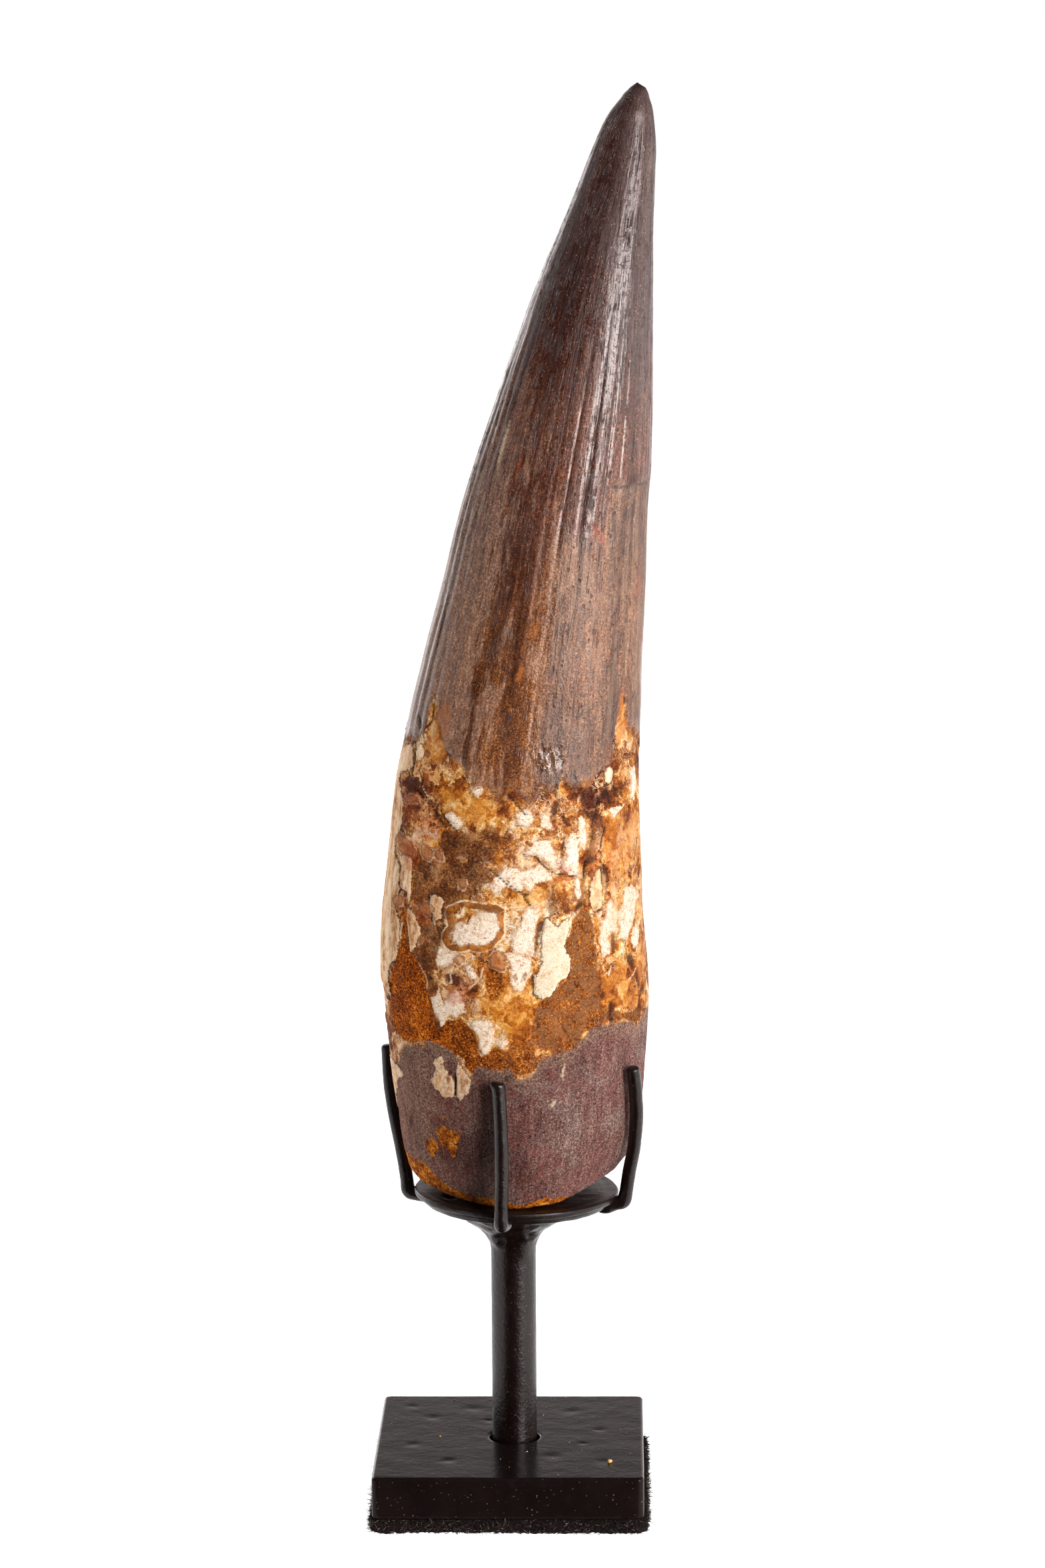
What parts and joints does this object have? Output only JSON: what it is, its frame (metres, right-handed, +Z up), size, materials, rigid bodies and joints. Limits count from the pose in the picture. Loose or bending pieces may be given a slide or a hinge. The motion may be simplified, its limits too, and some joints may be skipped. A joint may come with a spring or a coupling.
{
  "type": "fossil tooth on display stand",
  "caption": "Long curved fossil reptile tooth with a flaking root, held upright by bent wire prongs on a round plate, post and felt-backed square steel base.",
  "frame": {"origin": "centre of the base plate on the underside of the felt, where the stand meets the table", "axes": "+Z up along the tooth, +X towards the side the tip leans to, +Y to the back"},
  "size_m": [0.0424, 0.0409, 0.2099],
  "materials": {
    "fossil_tooth": "brown fluted enamel, satin to glossy, over a grainy cream, ochre and purple-brown root",
    "stand_paint": "satin brownish-black paint with slight orange peel",
    "felt": "fuzzy black felt"
  },
  "bodies": {
    "root": {"tooth": "fossil_tooth", "support_disc": "stand_paint", "prong_front": "stand_paint", "prong_left": "stand_paint", "prong_right": "stand_paint", "prong_back": "stand_paint", "post": "stand_paint", "base_plate": "stand_paint", "felt_pad": "felt"}
  },
  "joints": []
}
